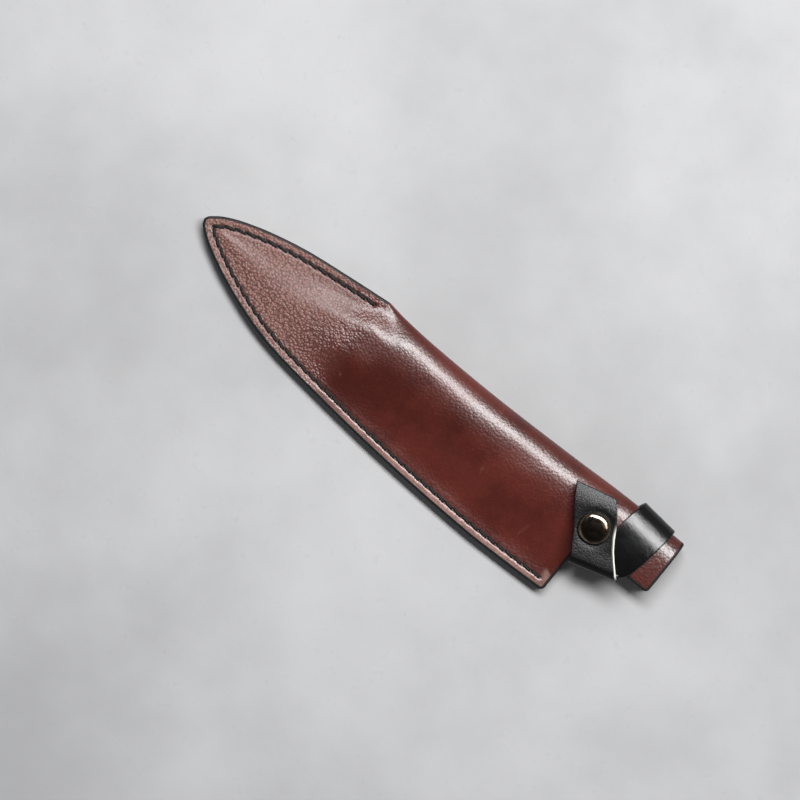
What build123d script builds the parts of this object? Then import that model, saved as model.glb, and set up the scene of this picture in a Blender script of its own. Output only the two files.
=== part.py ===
"""Empty leather knife sheath, lying on its back panel.

One piece of leather is folded along the spine. From the point to the knuckle the folded edges are
cut apart and stitched again, and past the mouth the fold runs on as a tongue beside the knife's
handle. A snap strap is riveted behind the tongue, comes over the spine, crosses the tongue, turns
back on itself and snaps on the front panel.

Lengths are in millimetres. Plan coordinates (x, y) are measured from the sheath's point: x towards
the tongue's end, y towards the spine. FLOOR puts them in the part's own frame, with its origin in
the middle of the part's box on the surface it rests on. z is the height above that surface.
"""

import os
from math import sqrt

from build123d import *

os.makedirs("parts", exist_ok=True)

# Overall sizes.
LENGTH = 260.6
MID_Y = -5.3
MOUTH_X = 224.0
KNUCKLE = (89.6, 23.2)
TONGUE_LOW_Y = -6.0
LEATHER = 2.2
WELT = 1.8
EDGE_HEIGHT = 2 * LEATHER + WELT

# Plan outline.
TOP_EDGE = [(0.0, 0.0), (0.5, 1.5), (1.8, 2.8), (5.8, 5.8), (13.8, 9.6), (27.0, 13.9),
            (45.0, 17.9), (67.5, 20.8), KNUCKLE]
MOUTH_CORNER = 2.6
BELLY_EDGE = [(0.0, 0.0), (0.5, -1.6), (1.8, -3.3), (9.0, -8.5), (27.0, -17.0), (54.0, -25.6),
              (90.0, -30.4), (135.0, -34.2), (180.0, -36.0), (207.0, -35.5),
              (MOUTH_X - MOUTH_CORNER, -34.9)]
SPINE = [KNUCKLE, (99.0, 21.9), (117.0, 20.8), (153.0, 20.3), (198.0, 21.3), (225.0, 22.3),
         (LENGTH, 22.1)]
TONGUE_CORNER = 2.3

# How the front panel stands over the back panel. The shares say how much of the width between
# the seams the panel takes to rise from each of them.
NOSE_WIDTH = 13.0
NOSE_LOW_WIDTH = 5.0
NOSE_LOW_INNER = 6.0
NOSE_HEIGHT = 5.0
NOSE_LIFT_SHARE = 0.85
CREST_HEIGHT = 13.0
TIP_CREST = [(0.0, EDGE_HEIGHT + 0.3), (20.0, 7.3), (45.0, 8.6), (70.0, 9.8), (KNUCKLE[0], 11.0),
             (120.0, CREST_HEIGHT), (LENGTH, CREST_HEIGHT)]
FOLD_OPEN_X = 118.0
FULLNESS = 1.25
TIP_RISE_TOP = 0.35
TIP_RISE_BELLY = 0.5
SEAM_MARGIN = 6.0
KNUCKLE_STEP = 0.15
TONGUE_LIFT = 2.1
TONGUE_OPEN = 0.7
LIFT_TO_X = 230.0

# Seams.
STITCH_PITCH = 5.0
STITCH_LENGTH = 4.2
THREAD_RADIUS = 0.5
SEAM_INSET = 4.5
SEAM_SLANT = 8.0
THREAD_SUNK = 0.1
FIRST_BELLY_STITCH = 8.0
FIRST_TIP_STITCH = 6.0
LAST_STITCH_FROM_KNUCKLE = 4.5
WELT_WIDTH = 6.0

# Strap: one ribbon in three stretches.
STRAP_WIDTH = 19.3
STRAP_THICK = 1.5
STRAP_GAP = 0.1
BAND_TOP = Vector(244.2, 23.5)
BAND_DIRECTION = Vector(-0.16, -0.987).normalized()
BAND_HEIGHT = 14.1
BAND_LEFT_LENGTH = 16.0
BAND_RIGHT_LENGTH = 22.0
BACK_PASS_HEIGHT = 1.3
BACK_PASS_LENGTH = 19.0
WRAP_OUTER_Y = 24.85
WRAP_SPINE_SIDE = Vector(0.096, 0.995).normalized()
FOLD_LEFT = Vector(224.2, -17.0)
FOLD_RIGHT = Vector(246.4, -10.5)
TURN_RADIUS = 2.6
TAB_PLAN = [(222.2, -11.3), (214.0, -0.7), (204.3, 13.8), (224.4, 17.9), (236.9, -0.5)]
TAB_HEIGHT = 18.25
TAB_END_HEIGHT = 16.3
TAB_REACH = 34.0
TAB_END_SLOPE = -0.3
TURN_SPLIT = 88

# Snap and rivets.
SNAP = (223.6, 2.0)
SEAT_HEIGHT = 12.4
INNER_SEAT_HEIGHT = 10.7
CAP_RADIUS = 7.5
CAP_HEIGHT = 2.7
CAP_ROUND = 2.4
SOCKET_RADIUS = 6.0
SOCKET_CAVITY = 3.6
SOCKET_ROOF = 1.1
STUD_FLANGE = 5.5
FLANGE_THICK = 0.8
STUD_RADIUS = 2.8
STUD_TOP = 15.6
STUD_ROUND = 0.8
POST_RADIUS = 1.8
POST_IN_STUD = 1.5
FIT = 0.1
RIVET_SPACING = 9.0
RIVET_RADIUS = 3.6
RIVET_CAP_THICK = 0.5
RIVET_HEAD_THICK = 0.6
RIVET_POST = 1.4
RIVET_FROM_WRAP = 12.0

FLOOR = Plane(origin=(-LENGTH / 2, -MID_Y, 0))


def save(part, name):
    """Label a finished piece and write its file."""
    part.label = name
    export_step(part, f"parts/{name}.step")


def between(x, points):
    """A smooth curve through points, as its second coordinate at x."""
    index = max([0] + [i for i, point in enumerate(points[:-1]) if point[0] <= x])
    (x0, y0), (x1, y1) = points[index], points[index + 1]
    before = points[max(index - 1, 0)]
    after = points[min(index + 2, len(points) - 1)]
    run = x1 - x0
    slope0 = (y1 - before[1]) / (x1 - before[0])
    slope1 = (after[1] - y0) / (after[0] - x0)
    t = (x - x0) / run
    return (y0 + (y1 - y0) * t * t * (3 - 2 * t)
            + run * (slope0 * t * (1 - t) ** 2 - slope1 * t * t * (1 - t)))


def ease(t):
    """A smooth step from 0 to 1."""
    t = min(max(t, 0.0), 1.0)
    return t * t * (3 - 2 * t)


def belly_line(x):
    """Belly edge at x, without the round corner at the mouth."""
    return between(min(x, BELLY_EDGE[-1][0]), BELLY_EDGE)


def rounded(x, end, radius):
    """How far a round corner at end has taken the edge in at x."""
    into = max(x - (end - radius), 0.0)
    return radius - sqrt(max(radius ** 2 - into ** 2, 0.0))


def belly_y(x):
    """Belly edge at x, with the round corner at the mouth."""
    return belly_line(x) + rounded(x, MOUTH_X, MOUTH_CORNER)


def spine_y(x):
    """Upper edge at x: the stitched top edge, then the fold."""
    return between(x, TOP_EDGE if x < KNUCKLE[0] else SPINE)


def tongue_y(x):
    """The tongue's lower edge at x, with the round corner at its end."""
    return TONGUE_LOW_Y + rounded(x, LENGTH, TONGUE_CORNER)


def on_tongue(x):
    """0 up to the mouth, 1 on the tongue."""
    return ease((x - MOUTH_X) / (LIFT_TO_X - MOUTH_X))


def lift(x):
    """How far the tongue's back flap stands off the surface, over the strap's back pass."""
    return TONGUE_LIFT * on_tongue(x)


def nose_height(x):
    """Height of the outermost line of the fold."""
    opened = ease((x - KNUCKLE[0]) / (FOLD_OPEN_X - KNUCKLE[0]))
    pinched = EDGE_HEIGHT / 2
    return pinched + (NOSE_HEIGHT - pinched) * opened + lift(x) * NOSE_LIFT_SHARE


def panel_height(x, inward, wall=0.0):
    """Height of the front panel, inward from the upper edge: outer face, or wall under it."""
    crest = between(x, TIP_CREST)
    span = spine_y(x) - belly_line(x) - 2 * SEAM_MARGIN
    across = (inward - SEAM_MARGIN) / span
    rise = ease(across / TIP_RISE_TOP) * ease((1 - across) / TIP_RISE_BELLY)
    stitched = EDGE_HEIGHT + (crest - EDGE_HEIGHT) * rise - wall
    if inward < NOSE_WIDTH:
        bend = sqrt(1 - ((NOSE_WIDTH - max(inward, 0)) / NOSE_WIDTH) ** 2)
        folded = nose_height(x) + (crest - wall - nose_height(x)) * bend
    else:
        down = (inward - NOSE_WIDTH) / (span + SEAM_MARGIN - NOSE_WIDTH)
        fall = (crest - EDGE_HEIGHT) * ease(down) ** FULLNESS * (1 - TONGUE_OPEN * on_tongue(x))
        folded = crest - fall - wall
    opened = ease((x - KNUCKLE[0]) / (FOLD_OPEN_X - KNUCKLE[0]))
    return stitched + (folded - stitched) * opened


def section_plane(x):
    """A plane across the sheath at x, with y and z as its own axes."""
    return Plane(origin=(x - LENGTH / 2, -MID_Y, 0), x_dir=(0, 1, 0), z_dir=(1, 0, 0))


def panel_face(x, low, inwards, wall):
    """Points along one face of the front panel, from the lower edge up to the upper one."""
    top = spine_y(x)
    depth = top - low
    return [(top - share * depth, panel_height(x, share * depth, wall)) for share in inwards]


def front_section(x):
    """Section of the front panel between the point and the knuckle.

    At the knuckle it is a little thinner, so that it lies wholly inside the fold's section.
    """
    shares = [1.0, 0.93, 0.86, 0.78, 0.7, 0.6, 0.5, 0.4, 0.3, 0.2, 0.1, 0.0]
    thinner = KNUCKLE_STEP if x == KNUCKLE[0] else 0.0
    outer = panel_face(x, belly_y(x), shares, thinner)
    inner = panel_face(x, belly_y(x), shares, LEATHER - thinner)
    with BuildSketch(section_plane(x)) as section:
        with BuildLine():
            Spline(*outer)
            Line(outer[-1], inner[-1])
            Spline(*inner)
            Line(inner[0], outer[0])
        make_face()
    return section.sketch


def strip_section(x, low, high, bottom, top):
    """A flat strip's section."""
    with BuildSketch(section_plane(x)) as section:
        with BuildLine():
            Polyline((low, bottom), (high, bottom), (high, top), (low, top), close=True)
        make_face()
    return section.sketch


def heading(x, y, wall):
    """Direction of the front panel's face at y, upwards along the section."""
    step = 0.5
    low, high = (panel_height(x, spine_y(x) - y - d, wall) for d in (-step, step))
    return (2 * step, high - low)


def fold_face(x, low, wall):
    """Points along one face of the folded leather, from y = low over the top and round the nose."""
    top = spine_y(x)
    shrink = (NOSE_WIDTH - wall) / NOSE_WIDTH
    depth = top - low - NOSE_WIDTH
    flat = [(top - NOSE_WIDTH - share * depth, panel_height(x, NOSE_WIDTH + share * depth, wall))
            for share in (1.0, 0.75, 0.5, 0.25, 0.0)]
    nose = [(top - wall - inward * shrink, panel_height(x, inward, wall))
            for inward in (8.0, 4.0, 1.5)]
    under = NOSE_LOW_WIDTH if wall == 0 else NOSE_LOW_INNER
    return flat + nose + [(top - wall, nose_height(x)), (top - under, lift(x) + wall)]


def folded_section(x, low, belly=None):
    """Section through the folded leather: back panel, fold and front panel in one.

    The faces from y = low upwards are the same whether or not a belly goes on below it.
    """
    base = lift(x)
    edge = low if belly is None else belly
    ends = []
    with BuildSketch(section_plane(x)) as section:
        with BuildLine():
            for wall in (0.0, LEATHER):
                face = fold_face(x, low, wall)
                Spline(*face, tangents=(heading(x, low, wall), (-1, 0)))
                if belly is not None:
                    shares = [1 - step / 8 for step in range(9)]
                    below = panel_face(x, belly, [(spine_y(x) - low + share * (low - belly))
                                                  / (spine_y(x) - belly) for share in shares], wall)
                    Spline(*below, tangents=(heading(x, belly, wall), heading(x, low, wall)))
                    face = below + face
                ends.append((face[0], face[-1]))
            Line(ends[0][0], ends[1][0])
            Polyline(ends[0][1], (edge, base), (edge, base + LEATHER), ends[1][1])
        make_face()
    return section.sketch


def lofted(sections):
    """One solid, ruled from section to section."""
    with BuildPart() as solid:
        for section in sections:
            add(section)
        loft(ruled=True)
    return solid.part


TIP_STATIONS = [0.1, 0.6, 1.8, 3.5, 6.0, 10.0, 16.0, 25.0, 36.0, 48.0, 62.0, 76.0, KNUCKLE[0]]
FOLD_STATIONS = [KNUCKLE[0], 93.0, 98.0, 104.0, 110.0, 118.0, 135.0, 153.0, 171.0, 189.0, 207.0,
                 MOUTH_X - MOUTH_CORNER, MOUTH_X - 1.0, MOUTH_X]
TONGUE_STATIONS = [MOUTH_X, 226.5, 229.0, LIFT_TO_X, 245.0, LENGTH - TONGUE_CORNER, LENGTH - 1.0,
                   LENGTH]

with BuildPart() as sheath_body:
    add(lofted([front_section(x) for x in TIP_STATIONS]))
    add(lofted([strip_section(x, belly_y(x), spine_y(x), 0, LEATHER) for x in TIP_STATIONS]))
    add(lofted([folded_section(x, TONGUE_LOW_Y, belly_y(x)) for x in FOLD_STATIONS]))
    add(lofted([folded_section(x, tongue_y(x)) for x in TONGUE_STATIONS]))

# Welts: strips sewn in between the panels, which keep the edge off the thread.
with BuildPart() as belly_welt:
    add(lofted([strip_section(x, belly_y(x), belly_y(x) + WELT_WIDTH, LEATHER, LEATHER + WELT)
                for x in TIP_STATIONS[4:] + FOLD_STATIONS[1:]]))
save(belly_welt.part, "belly_welt")

with BuildPart() as tip_welt:
    add(lofted([strip_section(x, spine_y(x) - WELT_WIDTH, spine_y(x), LEATHER, LEATHER + WELT)
                for x in TIP_STATIONS[6:]]))
save(tip_welt.part, "tip_welt")


def seam_places(edge_y, side, first_x, last_x):
    """Plan points and headings of one seam's stitches, a pitch apart along the edge."""
    places = []
    x = first_x
    while x < last_x:
        slope = edge_y(x + 0.5) - edge_y(x - 0.5)
        heading = Vector(1, slope).normalized()
        inward = Vector(-heading.Y, heading.X) * side * SEAM_INSET
        places.append((x + inward.X, edge_y(x) + inward.Y, heading.get_angle(Vector(1, 0))
                       * (1 if slope > 0 else -1)))
        x += STITCH_PITCH * heading.X
    return places


def stitches(places, face):
    """One row of stitches, pressed into the leather of the front face or the back."""
    with BuildPart() as row:
        for x, y, heading in places:
            if face == "front":
                height = panel_height(x, spine_y(x) - y) - THREAD_SUNK
            else:
                height = THREAD_RADIUS
            where = FLOOR * Location((x, y, height), (0, 0, heading + SEAM_SLANT))
            with Locations(where):
                Cylinder(THREAD_RADIUS, STITCH_LENGTH, rotation=(0, 90, 0))
    return row.part


BELLY_PLACES = seam_places(belly_y, 1, FIRST_BELLY_STITCH, MOUTH_X - MOUTH_CORNER - THREAD_RADIUS)
TIP_PLACES = seam_places(spine_y, -1, FIRST_TIP_STITCH, KNUCKLE[0] - LAST_STITCH_FROM_KNUCKLE)
for seam, places in (("belly", BELLY_PLACES), ("tip", TIP_PLACES)):
    for face in ("front", "back"):
        save(stitches(places, face), f"{seam}_stitches_{face}")

# Strap. Each stretch is a side profile, drawn across its bend line, cut to the ribbon's plan.
BAND_ACROSS = Vector(-BAND_DIRECTION.Y, BAND_DIRECTION.X)
WRAP_RADIUS = (BAND_HEIGHT - BACK_PASS_HEIGHT) / 2
WRAP_DOWN = WRAP_RADIUS + STRAP_THICK / 2 + BAND_TOP.Y - WRAP_OUTER_Y
WRAP_CENTRE = BAND_TOP + BAND_DIRECTION * WRAP_DOWN
TURN_ALONG = (FOLD_RIGHT - FOLD_LEFT).normalized()
TURN_OUT = Vector(TURN_ALONG.Y, -TURN_ALONG.X)
TURN_EDGE = (FOLD_LEFT + FOLD_RIGHT) * 0.5
TURN_CENTRE = TURN_EDGE - TURN_OUT * (TURN_RADIUS + STRAP_THICK / 2)
TURN_HEIGHT = BAND_HEIGHT + TURN_RADIUS
REACH = 60.0


def on_band(down, side):
    """Plan point down along the band from its top, and to its right."""
    point = BAND_TOP + BAND_DIRECTION * down + BAND_ACROSS * side
    return (point.X, point.Y)


def on_wrap_line(side, below):
    """Plan point where the wrap's bend line meets a side edge of the strap, and below it."""
    along = Vector(WRAP_SPINE_SIDE.Y, -WRAP_SPINE_SIDE.X)
    point = WRAP_CENTRE + along * side / along.dot(BAND_ACROSS) - WRAP_SPINE_SIDE * below
    return (point.X, point.Y)


def plan_prism(points):
    """A tall prism over a plan outline."""
    with BuildPart() as prism:
        with BuildSketch(FLOOR):
            with BuildLine():
                Polyline(*points, close=True)
            make_face()
        extrude(amount=CREST_HEIGHT * 3)
    return prism


def bend_plane(point, outward):
    """Upright plane through a plan point: first axis outward in plan, second axis up."""
    origin = FLOOR.from_local_coords((point.X, point.Y))
    return Plane(origin=origin, x_dir=outward, z_dir=outward.cross(Vector(0, 0, 1)))


def ribbon(plane, path, prism):
    """Leather of the strap's thickness along a path in a plane, cut to a plan prism."""
    with BuildPart() as piece:
        with BuildSketch(plane):
            trace(path.line, STRAP_THICK)
        extrude(amount=REACH, both=True)
        add(prism.part, mode=Mode.INTERSECT)
    return piece


def drill(part, plan, radius, low, high):
    """Cut a round hole or recess between two heights from a part."""
    with BuildPart() as drilled:
        add(part)
        with Locations(FLOOR * Location((*plan, low))):
            Cylinder(radius, high - low, align=(Align.CENTER, Align.CENTER, Align.MIN),
                     mode=Mode.SUBTRACT)
    return drilled.part


def disc(plan, radius, low, high):
    """A round disc between two heights."""
    with BuildPart() as round_piece:
        with Locations(FLOOR * Location((*plan, low))):
            Cylinder(radius, high - low, align=(Align.CENTER, Align.CENTER, Align.MIN))
    return round_piece.part


RIVETS = [on_band(WRAP_DOWN + RIVET_FROM_WRAP, side * RIVET_SPACING / 2) for side in (-1, 1)]
HALF = STRAP_WIDTH / 2

with BuildLine() as wrap_path:
    Line((-BACK_PASS_LENGTH, BACK_PASS_HEIGHT), (0, BACK_PASS_HEIGHT))
    CenterArc((0, BACK_PASS_HEIGHT + WRAP_RADIUS), WRAP_RADIUS, -90, 180)
wrap_plan = plan_prism([on_band(-REACH, -HALF), on_band(-REACH, HALF), on_band(REACH, HALF),
                        on_band(REACH, -HALF)])
strap_wrap = ribbon(bend_plane(WRAP_CENTRE, WRAP_SPINE_SIDE), wrap_path, wrap_plan).part
for rivet in RIVETS:
    strap_wrap = drill(strap_wrap, rivet, RIVET_POST + FIT, 0, CREST_HEIGHT / 2)
save(strap_wrap, "strap_wrap")

with BuildLine() as band_path:
    Line((-REACH, BAND_HEIGHT), (0, BAND_HEIGHT))
    CenterArc((0, TURN_HEIGHT), TURN_RADIUS, -90, TURN_SPLIT)
beyond = TURN_OUT * TURN_RADIUS
band_plan = plan_prism([on_wrap_line(-HALF, STRAP_GAP), on_wrap_line(HALF, STRAP_GAP),
                        on_band(WRAP_DOWN + BAND_RIGHT_LENGTH, HALF), tuple(FOLD_RIGHT + beyond)[:2],
                        tuple(FOLD_LEFT + beyond)[:2], on_band(WRAP_DOWN + BAND_LEFT_LENGTH, -HALF)])
strap_band = ribbon(bend_plane(TURN_CENTRE, TURN_OUT), band_path, band_plan)
save(strap_band.part, "strap_band")

SNAP_IN = -(Vector(*SNAP) - TURN_CENTRE).dot(TURN_OUT)
with BuildLine() as tab_path:
    CenterArc((0, TURN_HEIGHT), TURN_RADIUS, 90 - TURN_SPLIT, TURN_SPLIT)
    Spline((0, TURN_HEIGHT + TURN_RADIUS), (CAP_RADIUS - SNAP_IN, TAB_HEIGHT),
           tangents=((-1, 0), (-1, 0)))
    Line((CAP_RADIUS - SNAP_IN, TAB_HEIGHT), (-SNAP_IN - CAP_RADIUS, TAB_HEIGHT))
    Spline((-SNAP_IN - CAP_RADIUS, TAB_HEIGHT), (-TAB_REACH, TAB_END_HEIGHT),
           tangents=((-1, 0), (-1, TAB_END_SLOPE)))
tab_plan = plan_prism([tuple(FOLD_LEFT + beyond)[:2], *TAB_PLAN, tuple(FOLD_RIGHT + beyond)[:2]])
tab_leather = ribbon(bend_plane(TURN_CENTRE, TURN_OUT), tab_path, tab_plan).part
CAP_SEAT = TAB_HEIGHT + STRAP_THICK / 2
SOCKET_TOP = TAB_HEIGHT - STRAP_THICK / 2
save(drill(tab_leather, SNAP, POST_RADIUS + FIT, SEAT_HEIGHT, CAP_SEAT + CAP_HEIGHT), "strap_tab")

# Snap: domed cap and socket on the tab, stud and post on the front panel.
with BuildPart() as snap_cap:
    with Locations(FLOOR * Location((*SNAP, CAP_SEAT))):
        Cylinder(CAP_RADIUS, CAP_HEIGHT, align=(Align.CENTER, Align.CENTER, Align.MIN))
    fillet(snap_cap.edges().sort_by(Axis.Z)[-1], CAP_ROUND)
    add(disc(SNAP, POST_RADIUS, SOCKET_TOP - SOCKET_ROOF, CAP_SEAT))
save(snap_cap.part, "snap_cap")

with BuildPart() as snap_socket:
    add(disc(SNAP, SOCKET_RADIUS, SEAT_HEIGHT + FLANGE_THICK + 3 * FIT, SOCKET_TOP))
    add(disc(SNAP, SOCKET_CAVITY, SEAT_HEIGHT, SOCKET_TOP - SOCKET_ROOF), mode=Mode.SUBTRACT)
    add(disc(SNAP, POST_RADIUS + FIT, SEAT_HEIGHT, SOCKET_TOP), mode=Mode.SUBTRACT)
save(snap_socket.part, "snap_socket")

with BuildPart() as snap_stud:
    add(disc(SNAP, STUD_RADIUS, SEAT_HEIGHT, STUD_TOP))
    fillet(snap_stud.edges().sort_by(Axis.Z)[-1], STUD_ROUND)
    add(disc(SNAP, STUD_FLANGE, SEAT_HEIGHT, SEAT_HEIGHT + FLANGE_THICK))
    add(disc(SNAP, POST_RADIUS + FIT, 0, SEAT_HEIGHT + POST_IN_STUD), mode=Mode.SUBTRACT)
save(snap_stud.part, "snap_stud")

with BuildPart() as snap_post:
    add(disc(SNAP, STUD_FLANGE - 1, INNER_SEAT_HEIGHT - FLANGE_THICK, INNER_SEAT_HEIGHT))
    add(disc(SNAP, POST_RADIUS, INNER_SEAT_HEIGHT, SEAT_HEIGHT + POST_IN_STUD))
save(snap_post.part, "snap_post")

# Rivets through the strap's end and the tongue's back flap.
FLAP_INSIDE = TONGUE_LIFT + LEATHER
with BuildPart() as rivet_caps:
    for rivet in RIVETS:
        add(disc(rivet, RIVET_RADIUS, 0, RIVET_CAP_THICK))
        add(disc(rivet, RIVET_POST, RIVET_CAP_THICK, FLAP_INSIDE))
save(rivet_caps.part, "anchor_rivet_caps")

with BuildPart() as rivet_heads:
    for rivet in RIVETS:
        add(disc(rivet, RIVET_RADIUS, FLAP_INSIDE, FLAP_INSIDE + RIVET_HEAD_THICK))
save(rivet_heads.part, "anchor_rivet_heads")

# Folded leather, with the seats and holes that the snap and the rivets need.
leather = sheath_body.part
leather = drill(leather, SNAP, STUD_FLANGE + FIT, SEAT_HEIGHT, CREST_HEIGHT + 1)
leather = drill(leather, SNAP, POST_RADIUS + FIT, INNER_SEAT_HEIGHT, CREST_HEIGHT + 1)
leather = drill(leather, SNAP, STUD_FLANGE - 1 + FIT, CREST_HEIGHT / 2, INNER_SEAT_HEIGHT)
for rivet in RIVETS:
    leather = drill(leather, rivet, RIVET_POST + FIT, 0, CREST_HEIGHT / 2)
save(leather, "sheath_body")

for name, place, height, along in (
        ("band", WRAP_CENTRE, BAND_HEIGHT + STRAP_THICK / 2, WRAP_SPINE_SIDE.rotate(Axis.Z, -90)),
        ("tab", TURN_EDGE, TURN_HEIGHT, TURN_ALONG)):
    print(name, "hinge", FLOOR.from_local_coords((place.X, place.Y, height)), "along", along)
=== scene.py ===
"""Looks for an empty leather knife sheath: folded brown leather, waxed stitches, black snap strap.

Shapes are worked out in millimetres in the plan frame of the sheath: x from its point towards the
tongue's end, y towards the folded spine, z up. Ready meshes are put in the row frame in metres.
"""
from math import cos, pi, radians, sin

import bmesh
import bpy
import numpy as np
from mathutils import Matrix, Vector, noise


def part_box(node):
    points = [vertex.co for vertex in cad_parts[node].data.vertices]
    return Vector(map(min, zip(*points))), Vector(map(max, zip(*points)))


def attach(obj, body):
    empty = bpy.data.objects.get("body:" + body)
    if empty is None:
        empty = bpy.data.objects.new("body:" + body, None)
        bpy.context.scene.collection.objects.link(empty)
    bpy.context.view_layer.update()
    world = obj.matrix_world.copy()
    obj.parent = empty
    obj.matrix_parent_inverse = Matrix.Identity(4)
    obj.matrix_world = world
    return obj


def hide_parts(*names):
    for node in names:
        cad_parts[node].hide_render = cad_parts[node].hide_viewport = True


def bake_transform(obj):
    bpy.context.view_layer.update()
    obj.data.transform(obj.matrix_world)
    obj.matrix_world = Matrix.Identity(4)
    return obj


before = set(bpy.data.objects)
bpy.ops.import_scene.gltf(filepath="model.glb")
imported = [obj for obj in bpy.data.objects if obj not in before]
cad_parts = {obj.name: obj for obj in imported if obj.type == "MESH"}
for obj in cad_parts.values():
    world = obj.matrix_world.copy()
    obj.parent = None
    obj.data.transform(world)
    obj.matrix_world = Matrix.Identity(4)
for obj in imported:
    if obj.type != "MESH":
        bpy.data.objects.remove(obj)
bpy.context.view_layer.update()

MM = 0.001

# ---- Plan outline, as in the CAD model ------------------------------------------------------

LENGTH = 260.6
MOUTH_X = 224.0
KNUCKLE = (89.6, 23.2)
TONGUE_LOW_Y = -6.0
LEATHER = 2.2
WELT = 1.8
EDGE_HEIGHT = 2 * LEATHER + WELT
TOP_EDGE = [(0.0, 0.0), (0.5, 1.5), (1.8, 2.8), (5.8, 5.8), (13.8, 9.6), (27.0, 13.9),
            (45.0, 17.9), (67.5, 20.8), KNUCKLE]
MOUTH_CORNER = 2.6
BELLY_EDGE = [(0.0, 0.0), (0.5, -1.6), (1.8, -3.3), (9.0, -8.5), (27.0, -17.0), (54.0, -25.6),
              (90.0, -30.4), (135.0, -34.2), (180.0, -36.0), (207.0, -35.5),
              (MOUTH_X - MOUTH_CORNER, -34.9)]
SPINE = [KNUCKLE, (99.0, 21.9), (117.0, 20.8), (153.0, 20.3), (198.0, 21.3), (225.0, 22.3),
         (LENGTH, 22.1)]
TONGUE_CORNER = 2.3
INNER_CORNER = 3.0
NOSE_WIDTH = 13.0
NOSE_LOW_WIDTH = 5.0
NOSE_HEIGHT = 5.0
NOSE_LIFT_SHARE = 0.85
CREST_HEIGHT = 13.0
TIP_CREST = [(0.0, EDGE_HEIGHT + 0.3), (20.0, 7.1), (45.0, 8.0), (70.0, 8.9), (KNUCKLE[0], 9.8),
             (108.0, 11.2), (128.0, 12.5), (150.0, CREST_HEIGHT), (LENGTH, CREST_HEIGHT)]
FOLD_OPEN_X = 110.0
FULLNESS = 1.25
SEAM_MARGIN = 6.0
# The flat margin by the top seam narrows over this stretch, so that the fold starts at the knuckle.
MARGIN_NARROWS_X = 80.0
MARGIN_NARROWS_OVER = 12.0
MARGIN_NARROWS_BY = 4.0
# How much of the panel's width it takes to rise from each seam to its crest.
RISE_SHARE_AT_POINT = 0.7
RISE_SHARE_AT_FOLD = 0.32
RISE_CHANGES_X = 35.0
RISE_CHANGES_OVER = 50.0
BELLY_RISE_SHARE = 0.5
TONGUE_LIFT = 2.1
TONGUE_OPEN = 0.7
LIFT_TO_X = 230.0

body_low, body_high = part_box("sheath_body")
POINT = Vector((body_high.x - LENGTH * MM, body_low.y + 36.0 * MM, 0))


def to_row(points):
    """Plan millimetres to the row frame's metres."""
    return np.asarray(points, float) * MM + np.array(POINT)


def smooth_through(points, step=0.1):
    """A smooth curve through points, sampled finely: arrays of x and y."""
    xs, ys = [], []
    for i in range(len(points) - 1):
        (x0, y0), (x1, y1) = points[i], points[i + 1]
        before = points[max(i - 1, 0)]
        after = points[min(i + 2, len(points) - 1)]
        slope0 = (y1 - before[1]) / (x1 - before[0])
        slope1 = (after[1] - y0) / (after[0] - x0)
        t = np.linspace(0, 1, max(int((x1 - x0) / step), 4), endpoint=False)
        xs.append(x0 + (x1 - x0) * t)
        ys.append(y0 + (y1 - y0) * t * t * (3 - 2 * t)
                  + (x1 - x0) * (slope0 * t * (1 - t) ** 2 - slope1 * t * t * (1 - t)))
    return np.append(np.concatenate(xs), points[-1][0]), np.append(np.concatenate(ys), points[-1][1])


TOP_CURVE = smooth_through(TOP_EDGE)
BELLY_CURVE = smooth_through(BELLY_EDGE)
SPINE_CURVE = smooth_through(SPINE)
CREST_CURVE = smooth_through(TIP_CREST)


def ease(t):
    t = np.clip(t, 0.0, 1.0)
    return t * t * (3 - 2 * t)


def rounded(x, end, radius):
    """How far a round corner at end has taken an edge in at x."""
    into = np.clip(x - (end - radius), 0.0, radius)
    return radius - np.sqrt(radius ** 2 - into ** 2)


def belly_line(x):
    return np.interp(x, *BELLY_CURVE)


def belly_y(x):
    return belly_line(x) + rounded(x, MOUTH_X, MOUTH_CORNER)


def spine_y(x):
    return np.where(x < KNUCKLE[0], np.interp(x, *TOP_CURVE), np.interp(x, *SPINE_CURVE))


def tongue_y(x):
    """The tongue's lower edge, with the inner corner at the mouth and the round outer corner."""
    inner = INNER_CORNER - np.sqrt(
        np.maximum(INNER_CORNER ** 2 - np.clip(MOUTH_X + INNER_CORNER - x, 0, INNER_CORNER) ** 2, 0))
    return TONGUE_LOW_Y - inner + rounded(x, LENGTH, TONGUE_CORNER)


# ---- Heights ---------------------------------------------------------------------------------


def opened(x):
    return ease((x - KNUCKLE[0]) / (FOLD_OPEN_X - KNUCKLE[0]))


def on_tongue(x):
    return ease((x - MOUTH_X) / (LIFT_TO_X - MOUTH_X))


def lift(x):
    return TONGUE_LIFT * on_tongue(x)


def nose_height(x):
    pinched = EDGE_HEIGHT / 2
    return pinched + (NOSE_HEIGHT - pinched) * opened(x) + lift(x) * NOSE_LIFT_SHARE


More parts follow.
